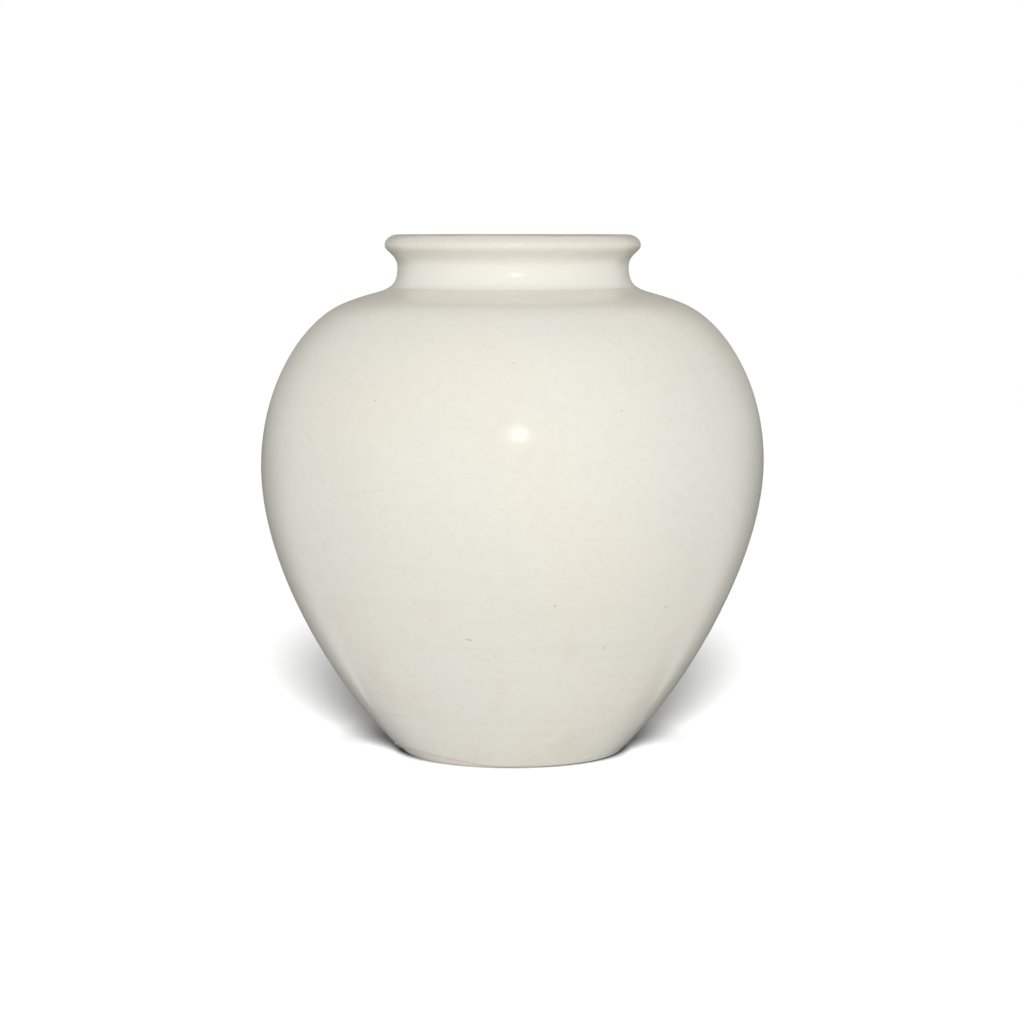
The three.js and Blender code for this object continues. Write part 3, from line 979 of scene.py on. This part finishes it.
clay_outside = wall.at(SKIN)
clay_inside = wall.at(SKIN + wall.wall)
belly_lower_rim, belly_upper_rim, belly_slip_loop = luted_joint(BELLY_STATION, BELLY_STATION, BELLY_KEY)
neck_lower_rim, neck_upper_rim, neck_slip_loop = luted_joint(NECK_STATION, NECK_STATION_INSIDE, NECK_KEY)
print("belly joint at", np.round(clay_outside[BELLY_STATION] / MM, 1), "mm, radius and height")


# %% Eased corners
CORNER = 0.35 * MM
CORNER_STEPS = 4
CORNER_TURN = math.radians(20)


def eased(points, closed=True):
    """The same outline with each sharp corner cut back by CORNER and bridged by a short curve."""
    points = [np.array(p, float) for p in points]
    done = []
    for i, corner in enumerate(points):
        before, after = points[i - 1], points[(i + 1) % len(points)]
        arrive, leave = corner - before, after - corner
        lengths = np.linalg.norm(arrive), np.linalg.norm(leave)
        turned = math.acos(np.clip(arrive @ leave / (lengths[0] * lengths[1]), -1, 1))
        on_end = not closed and i in (0, len(points) - 1)
        if on_end or turned < CORNER_TURN:
            done.append(corner)
            continue
        cut = min(CORNER, lengths[0] / 2.2, lengths[1] / 2.2)
        start, end = corner - arrive / lengths[0] * cut, corner + leave / lengths[1] * cut
        for t in np.linspace(0, 1, CORNER_STEPS + 1):
            done.append((1 - t) ** 2 * start + 2 * t * (1 - t) * corner + t * t * end)
    return done + [done[0]] if closed else done


# %% Floor and cove
def floor_and_cove(face, floor_height, steps):
    """From the axis over the floor and up the rounded corner to the wall, and the station where it ends."""
    end = int(np.argmax(face[:, 1] > FLOOR_HEIGHT + COVE_HEIGHT))
    start = face[end]
    slope = face[end + 1] - start
    corner = np.array((start[0] - (start[1] - floor_height) * slope[0] / slope[1], floor_height))
    floor_edge = np.array((corner[0] - np.linalg.norm(corner - start), floor_height))
    t = np.linspace(0, 1, steps + 1)[:, None]
    cove = (1 - t) ** 2 * floor_edge + 2 * t * (1 - t) * corner + t * t * start
    level = [(floor_edge[0] * share, floor_height) for share in np.linspace(0, 1, steps, endpoint=False)]
    return [*level, *cove], end


# %% Base of the foot
GROOVE_COUNT = 9
GROOVE_DEPTH = 0.22 * MM
GROOVE_STEPS = 54


def base_outline():
    """Under the foot, from the axis out: a recess with the grooves of the trimming tool, then the ring."""
    foot_edge = clay_outside[0]
    ring_outer = foot_edge[0] - FOOT_BEVEL
    ring_inner = ring_outer - FOOT_RING_WIDTH
    recess = ring_inner - RECESS_SLOPE_WIDTH
    share = np.linspace(0, 1, GROOVE_STEPS, endpoint=False)
    groove = GROOVE_DEPTH * np.sin(share * GROOVE_COUNT * 2 * math.pi) * np.sin(share * math.pi)
    turned = list(zip(share * recess, RECESS_DEPTH + groove))
    return [*turned, (recess, RECESS_DEPTH), (ring_inner, 0), (ring_outer, 0), tuple(foot_edge)]


# %% Throw the clay
CLAY_COVE_STEPS = 12
clay_cove, clay_cove_end = floor_and_cove(clay_inside, FLOOR_HEIGHT, CLAY_COVE_STEPS)
lower_outline = [
    *base_outline(),
    *clay_outside[1:BELLY_STATION],
    *belly_lower_rim,
    *clay_inside[clay_cove_end + 1:BELLY_STATION:2][::-1],
    *clay_cove[::-1],
]
dome_outline = [
    belly_upper_rim[0],
    *clay_outside[BELLY_STATION + 1:NECK_STATION:2],
    *neck_lower_rim,
    *clay_inside[BELLY_STATION + 1:NECK_STATION_INSIDE:2][::-1],
    belly_upper_rim[2],
    belly_upper_rim[1],
]
neck_outline = [
    neck_upper_rim[0],
    *clay_outside[NECK_STATION + 1:],
    *rim.at(SKIN)[1:],
    *clay_inside[NECK_STATION_INSIDE + 1:][::-1],
    neck_upper_rim[2],
    neck_upper_rim[1],
]
throw("lower_body_clay", eased(lower_outline, closed=False), "lower_body", "fired_clay", bare_clay)
throw("shoulder_dome_clay", eased(dome_outline), "shoulder_dome", "fired_clay", bare_clay)
throw("neck_collar_clay", eased(neck_outline), "neck_collar", "fired_clay", bare_clay)
throw("belly_luting", eased(belly_slip_loop), "belly_slip", "joining_slip", joining_slip)
throw("neck_luting", eased(neck_slip_loop), "neck_slip", "joining_slip", joining_slip)

# %% [markdown]
# ## The coats of glaze
# A coat is a thin shell that follows the clay: its face, a rounded end, its back and another rounded end.
# Only the face takes the throwing lines, so the back stays snug on the clay. Outside, the fingers have
# left lines of a few hundredths of a millimetre, which are seen only in the reflections. Inside they
# stand out as rings.

# %% Outer coat
OUTER_LINE_DEPTH = 0.16 * MM
OUTER_LINE_SPACING = 13 * MM
OUTER_SEGMENTS = 192
BACK_STEP = 4


def round_end(start, end, steps=4):
    """A half circle that closes a coat from its face to its back. It bulges to the right of start to end."""
    middle, half = (start + end) / 2, (end - start) / 2
    side = np.array((half[1], -half[0]))
    angles = np.linspace(0, math.pi, steps + 2)[1:-1]
    return [middle - half * math.cos(a) + side * math.sin(a) for a in angles]


coat = slice(GLAZE_STATION, None)
outer_face = [*wall.points[coat], *rim.points[1:]]
outer_back = [*wall.at(GLAZE)[coat], *rim.at(GLAZE)[1:]][::-1]
outer_back = [outer_back[0], *outer_back[1:-1:BACK_STEP], outer_back[-1]]
outer_loop = [*outer_face, *outer_back, *round_end(outer_back[-1], outer_face[0]), outer_face[0]]
outer_coat = throw("outer_coat", outer_loop, "outer_glaze", "ivory_glaze", outer_glaze,
                   face_rows=len(outer_face), segments=OUTER_SEGMENTS, line_depth=OUTER_LINE_DEPTH,
                   line_spacing=OUTER_LINE_SPACING, edge_wave=1.0, seed=4.0)

# %% Inner coat
INNER_LINE_DEPTH = 1.3 * MM
INNER_LINE_SPACING = 10 * MM
INNER_SEGMENTS = 160
INNER_COVE_STEPS = 18
THROAT_ROWS = 12


def lining_path(depth, floor_height):
    face = wall.at(depth)
    path, end = floor_and_cove(face, floor_height, INNER_COVE_STEPS)
    heights = np.linspace(face[-1][1], lip_height - BOND, THROAT_ROWS + 1)[1:]
    throat_wall = [(face[-1][0], z) for z in heights]
    return [np.array(p, float) for p in (*path, *face[end + 1:], *throat_wall)]


lining_back = lining_path(SKIN + wall.wall + BOND, FLOOR_HEIGHT + BOND)
lining_face = lining_path(SKIN + wall.wall + BOND + GLAZE, FLOOR_HEIGHT + BOND + GLAZE)
inner_loop = [*lining_face, *round_end(lining_face[-1], lining_back[-1]),
              *lining_back[::-BACK_STEP], lining_back[0]]
throw("inner_coat", inner_loop, "inner_glaze", "ivory_glaze", inner_glaze,
      face_rows=len(lining_face), segments=INNER_SEGMENTS, line_depth=INNER_LINE_DEPTH,
      line_spacing=INNER_LINE_SPACING, seed=9.0)

# %% [markdown]
# ## Specks and grit
# Iron in the clay melts through the glaze as small brown spots, crumbs of kiln sand stick to the wet edge
# of the glaze at the foot, and a few pale raised beads at the root of the neck are a painted highlight,
# where the lamp's reflection runs down the neck. All are small grains on a surface, so one tree scatters
# them: grains given in a list, where an eye would miss them, and others by a fixed seed. Each grain is a
# flattened ball of a few dozen faces, sunk a little, so that a low dome shows. The ball stores how far each
# of its points lies from its middle, and the finish uses that to fade the brown spot into the glaze around
# it.

# %% Scatter tree
scatter = new_tree("Scattered grains", (
    ("Placed", "Geometry", None),
    ("Wall", "Object", None),
    ("Density", "Float", 600.0),
    ("Smallest", "Float", 0.2 * MM),
    ("Largest", "Float", 0.6 * MM),
    ("Lowest", "Float", 0.0),
    ("Highest", "Float", 1.0),
    ("Flatness", "Float", 0.08),
    ("Lumpiness", "Float", 0.0),
    ("Seed", "Int", 1),
    ("Material", "Material", None),
))
GRAIN_SIDES = 10
GRAIN_RINGS = 6
SINK = 0.3


def grain(bench):
    """A unit ball that knows how far each of its points lies from its middle, seen from above."""
    ball = bench.out("GeometryNodeMeshUVSphere", (GRAIN_SIDES, GRAIN_RINGS, 1.0))
    flat = bench.vector("MULTIPLY", bench.out("GeometryNodeInputPosition"), (1, 1, 0))
    feeds = {"Geometry": ball, "Name": "rim", "Value": bench.measure("LENGTH", flat)}
    return bench.out("GeometryNodeStoreNamedAttribute", feeds)


def wall_points(bench, given, wall_shape):
    """Random points on the outer side of the wall, between two heights, with a random width."""
    place = bench.out("GeometryNodeInputPosition")
    normal = bench.out("GeometryNodeInputNormal")
    outwards = bench.measure("DOT_PRODUCT", normal, bench.vector("MULTIPLY", place, (1, 1, 0)))
    height = bench.separate(place)["Z"]
    in_band = bench.times(bench.math("GREATER_THAN", height, given["Lowest"]),
                          bench.math("LESS_THAN", height, given["Highest"]))
    chosen = bench.times(in_band, bench.math("GREATER_THAN", outwards, 0.0))
    feeds = {"Mesh": wall_shape, "Selection": chosen, "Density": given["Density"], "Seed": given["Seed"]}
    spread = bench.add("GeometryNodeDistributePointsOnFaces", feeds)
    chance = bench.add("FunctionNodeRandomValue", {"Seed": given["Seed"]}, data_type="FLOAT").outputs[1]
    width = bench.between(bench.math("POWER", chance, 3.0), given["Smallest"], given["Largest"])
    feeds = {"Geometry": spread.outputs["Points"], "Name": "width", "Value": width}
    return bench.out("GeometryNodeStoreNamedAttribute", feeds)


def build_scatter(bench):
    given = bench.add("NodeGroupInput").outputs
    wall_shape = bench.add("GeometryNodeObjectInfo", {"Object": given["Wall"]}).outputs["Geometry"]
    by_hand = bench.out("GeometryNodeMeshToPoints", {"Mesh": given["Placed"]})
    by_chance = wall_points(bench, given, wall_shape)
    points = bench.add("GeometryNodeJoinGeometry", (by_hand,))
    bench.tree.links.new(by_chance, points.inputs[0])

    place = bench.out("GeometryNodeInputPosition")
    nearest = bench.add("GeometryNodeProximity", {0: wall_shape}, target_element="FACES").outputs["Position"]
    normal = bench.out("GeometryNodeInputNormal")
    feeds = {"Mesh": wall_shape, "Value": normal, "Sample Position": place}
    facing = bench.out("GeometryNodeSampleNearestSurface", feeds, data_type="FLOAT_VECTOR")
    width = bench.out("GeometryNodeInputNamedAttribute", {"Name": "width"}, data_type="FLOAT")
    sunk = bench.scaled(facing, bench.times(width, given["Flatness"], -SINK))
    feeds = {"Geometry": points.outputs[0], "Position": bench.vector("ADD", nearest, sunk)}
    seated = bench.out("GeometryNodeSetPosition", feeds)

    pointing = bench.out("FunctionNodeAlignRotationToVector", {"Vector": facing}, axis="Z")
    size = bench.combine(width, width, bench.times(width, given["Flatness"]))
    feeds = {"Points": seated, "Instance": grain(bench), "Rotation": pointing, "Scale": size}
    set_out = bench.out("GeometryNodeInstanceOnPoints", feeds)
    real = bench.out("GeometryNodeRealizeInstances", (set_out,))
    lumps = bench.add("ShaderNodeTexNoise", {"Vector": place, "Scale": 900.0}).outputs["Color"]
    push = bench.scaled(bench.vector("SUBTRACT", lumps, (0.5, 0.5, 0.5)), given["Lumpiness"])
    rough = bench.out("GeometryNodeSetPosition", {"Geometry": real, "Offset": push})
    smooth = bench.out("GeometryNodeSetShadeSmooth", {"Geometry": rough})
    dressed = bench.out("GeometryNodeSetMaterial", {"Geometry": smooth, "Material": given["Material"]})
    bench.add("NodeGroupOutput", (dressed,))


build_scatter(Bench(scatter))
print("the scatter has", len(scatter.nodes), "nodes")


# %% Place listed grains
ROWS_ABOVE_THROAT = 20


def wall_radius(height):
    """The outline's radius at a height, up to the lip."""
    outline = np.array(outer_face[:len(wall.points) - GLAZE_STATION + ROWS_ABOVE_THROAT])
    return float(np.interp(height, outline[:, 1], outline[:, 0]))


def sow(name, placed, slot, material, **values):
    """Runs the scatter with some listed grains: turn from the front, height and width."""
    points = []
    for degrees, height, _ in placed:
        turn, radius = math.radians(degrees), wall_radius(height * MM)
        points.append((radius * math.sin(turn), -radius * math.cos(turn), height * MM))
    mesh = new_mesh(name, points)
    widths = mesh.attributes.new("width", "FLOAT", "POINT")
    widths.data.foreach_set("value", [width / 2 * MM for _, _, width in placed])
    piece = run_tree(put(name, mesh), scatter, wall=outer_coat, material=material, **values)
    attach(piece, "root")
    print(name, len(piece.data.polygons), "faces")


# %% Iron specks
IRON = paint(100, 90, 68)
IRON_SHARE = 0.46
RAGGED_SCALE = 1500.0


def stained(bench, colour):
    """Brown in the middle of a grain, with a ragged end towards its rim."""
    place, _, _ = jar_place(bench)
    from_middle = bench.add("ShaderNodeAttribute", attribute_name="rim").outputs["Fac"]
    ragged = bench.plus(from_middle, bench.times(bench.noise(place, RAGGED_SCALE), 0.5))
    return bench.blend(bench.fade(ragged, 1.20, 0.35, 0.0, IRON_SHARE), colour, IRON)


iron_speck = glaze_material("iron_speck", stained)
SPECKS = (
    (-32.5, 211, 1.6), (46.8, 196, 2.2), (24.9, 206, 1.6), (-12.1, 81.4, 1.0), (-11.6, 81.3, 1.7),
    (-11.05, 81.0, 1.7), (-10.5, 80.8, 1.7), (10.2, 100.6, 2.2), (41.4, 95.9, 2.3),
    (25.4, 74.6, 2.2), (0.4, 231.7, 1.5), (-6.7, 128.3, 1.1), (-4.4, 71.6, 1.5), (76, 286.5, 1.8),
    (-28.4, 143.8, 1.4), (-35.4, 144.5, 1.2), (-10.2, 151.0, 1.1), (-28.6, 134.5, 1.1), (-2.2, 154.6, 1.2),
)
sow("iron_specks", SPECKS, "ivory_glaze", iron_speck, density=1100.0, smallest=0.20 * MM, largest=0.55 * MM,
    lowest=12 * MM, highest=296 * MM, flatness=0.07, seed=3)

# %% Kiln grit
SAND = paint(222, 208, 188)
SAND_SCALE = 700.0


def sandy(bench, colour):
    place, _, _ = jar_place(bench)
    return bench.blend(bench.fade(bench.noise(place, SAND_SCALE), 0.35, 0.65), colour, SAND)


kiln_grit = glaze_material("kiln_grit", sandy)
CRUMBS = (
    (39.6, 3.4, 3.6), (41.6, 4.3, 2.6), (38.4, 2.8, 2.2), (48.5, 3.4, 2.0),
    (-72, 7, 2.4), (150, 4, 3.0), (-140, 5, 2.2),
)
sow("kiln_grit", CRUMBS, "ivory_glaze", kiln_grit, density=3500.0, smallest=0.15 * MM, largest=0.7 * MM,
    lowest=1 * MM, highest=7 * MM, flatness=0.55, lumpiness=0.5 * MM, seed=5)

# %% Painted highlight beads
PAINTED_HIGHLIGHT_SHARE = 0.9


# Painted highlight: the beads are painted pale where the lamp's reflection runs down the root of the neck.
def paint_highlight(bench, colour):
    return bench.blend(PAINTED_HIGHLIGHT_SHARE, colour, PAINTED_LIGHT_IVORY)


pale_run = glaze_material("pale_run", paint_highlight)
PAINTED_HIGHLIGHT_BEADS = (
    (0.1, 270.7, 2.2), (1.2, 270.6, 2.6), (2.3, 270.8, 1.8), (-0.3, 268.0, 2.2), (0.7, 268.2, 2.4),
    (0.6, 264.4, 2.0), (1.7, 264.3, 2.4), (2.9, 264.4, 2.0),
)
sow("glaze_runs", PAINTED_HIGHLIGHT_BEADS, "ivory_glaze", pale_run, density=0.0, flatness=0.28, seed=7)
